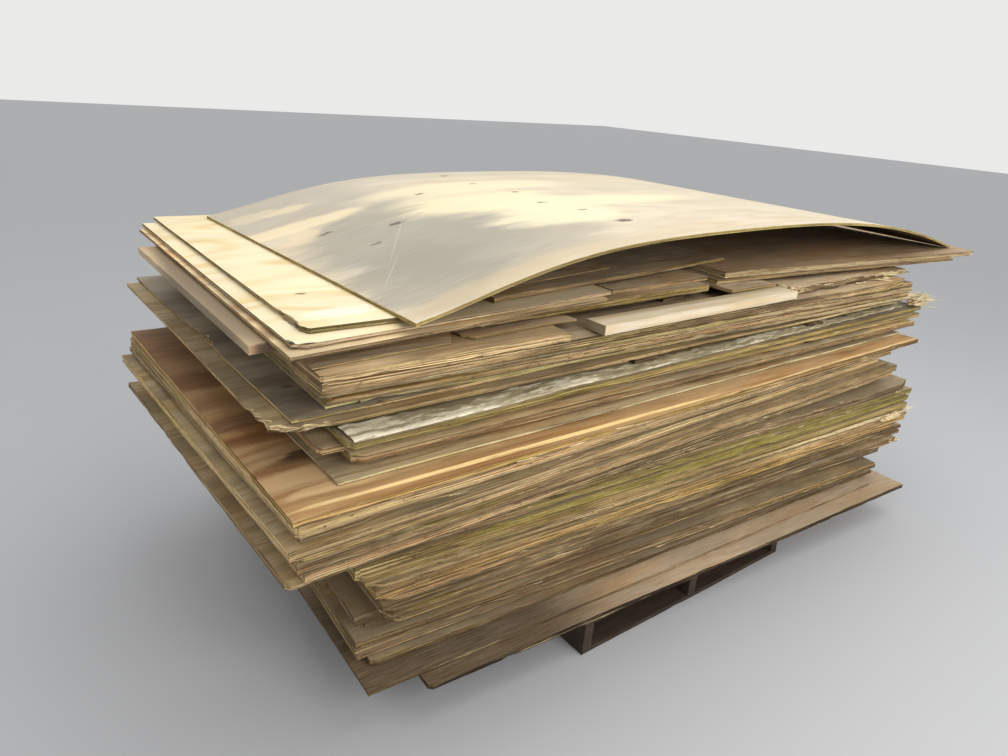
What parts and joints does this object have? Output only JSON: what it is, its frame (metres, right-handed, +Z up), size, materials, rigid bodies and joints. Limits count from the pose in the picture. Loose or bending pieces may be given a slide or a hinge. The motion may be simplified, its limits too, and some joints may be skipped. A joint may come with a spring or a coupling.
{
  "type": "stack of plywood sheets",
  "caption": "Uneven stack of used plywood sheets and offcuts on a stringer pallet, with a bowed sheet on top.",
  "frame": {"origin": "on the floor under the middle of the pallet", "axes": "+X along the sheets' long side, +Y from the front edges to the back, +Z up"},
  "size_m": [2.9304, 1.54, 1.2624],
  "materials": {
    "pallet_wood": "rough sawn, aged",
    "aged_plywood": "aged sheathing, stained edges",
    "middle_plywood": "warm tan sheathing with striped grain",
    "weathered_plywood": "grey-brown, weathered",
    "offcut_plywood": "cut sheathing, rough edges",
    "pale_plywood": "pale face veneer with grey stains",
    "new_wood": "planed new softwood"
  },
  "bodies": {
    "root": {"bottom_boards": "pallet_wood", "bottom_sheet_01": "aged_plywood", "bottom_sheet_02": "aged_plywood", "bowed_sheet": "pale_plywood", "cross_board": "new_wood", "end_sheet": "pale_plywood", "lower_sheet_01": "aged_plywood", "lower_sheet_02": "aged_plywood", "lower_sheet_03": "aged_plywood", "lower_sheet_04": "aged_plywood", "lower_sheet_05": "aged_plywood", "lower_sheet_06": "aged_plywood", "lower_sheet_07": "aged_plywood", "lower_sheet_08": "aged_plywood", "lower_sheet_09": "aged_plywood", "lower_sheet_10": "aged_plywood", "lower_sheet_11": "aged_plywood", "lower_sheet_12": "aged_plywood", "lower_sheet_13": "aged_plywood", "lower_sheet_14": "aged_plywood", "lower_sheet_15": "aged_plywood", "lower_sheet_16": "aged_plywood", "lower_sheet_17": "aged_plywood", "lower_sheet_18": "aged_plywood", "lower_sheet_19": "aged_plywood", "middle_sheet_01": "middle_plywood", "middle_sheet_02": "middle_plywood", "middle_sheet_03": "middle_plywood", "middle_sheet_04": "middle_plywood", "middle_sheet_05": "middle_plywood", "middle_sheet_06": "middle_plywood", "middle_sheet_07": "middle_plywood", "middle_sheet_08": "middle_plywood", "middle_sheet_09": "middle_plywood", "new_board": "new_wood", "right_sheet_lower": "offcut_plywood", "right_sheet_upper": "offcut_plywood", "short_sheet": "offcut_plywood", "spacer_strips": "offcut_plywood", "splintered_sheet": "offcut_plywood", "stringer_left": "pallet_wood", "stringer_middle": "pallet_wood", "stringer_right": "pallet_wood", "tapered_sheet_lower": "pale_plywood", "tapered_sheet_upper": "pale_plywood", "thick_offcuts": "offcut_plywood", "thin_offcuts": "offcut_plywood", "top_boards": "pallet_wood", "upper_sheet_01": "weathered_plywood", "upper_sheet_02": "weathered_plywood", "upper_sheet_03": "weathered_plywood", "upper_sheet_04": "weathered_plywood", "upper_sheet_05": "weathered_plywood", "upper_sheet_06": "weathered_plywood", "upper_sheet_07": "weathered_plywood", "upper_sheet_08": "weathered_plywood", "upper_sheet_09": "weathered_plywood", "upper_sheet_10": "weathered_plywood", "upper_sheet_11": "weathered_plywood"}
  },
  "joints": []
}
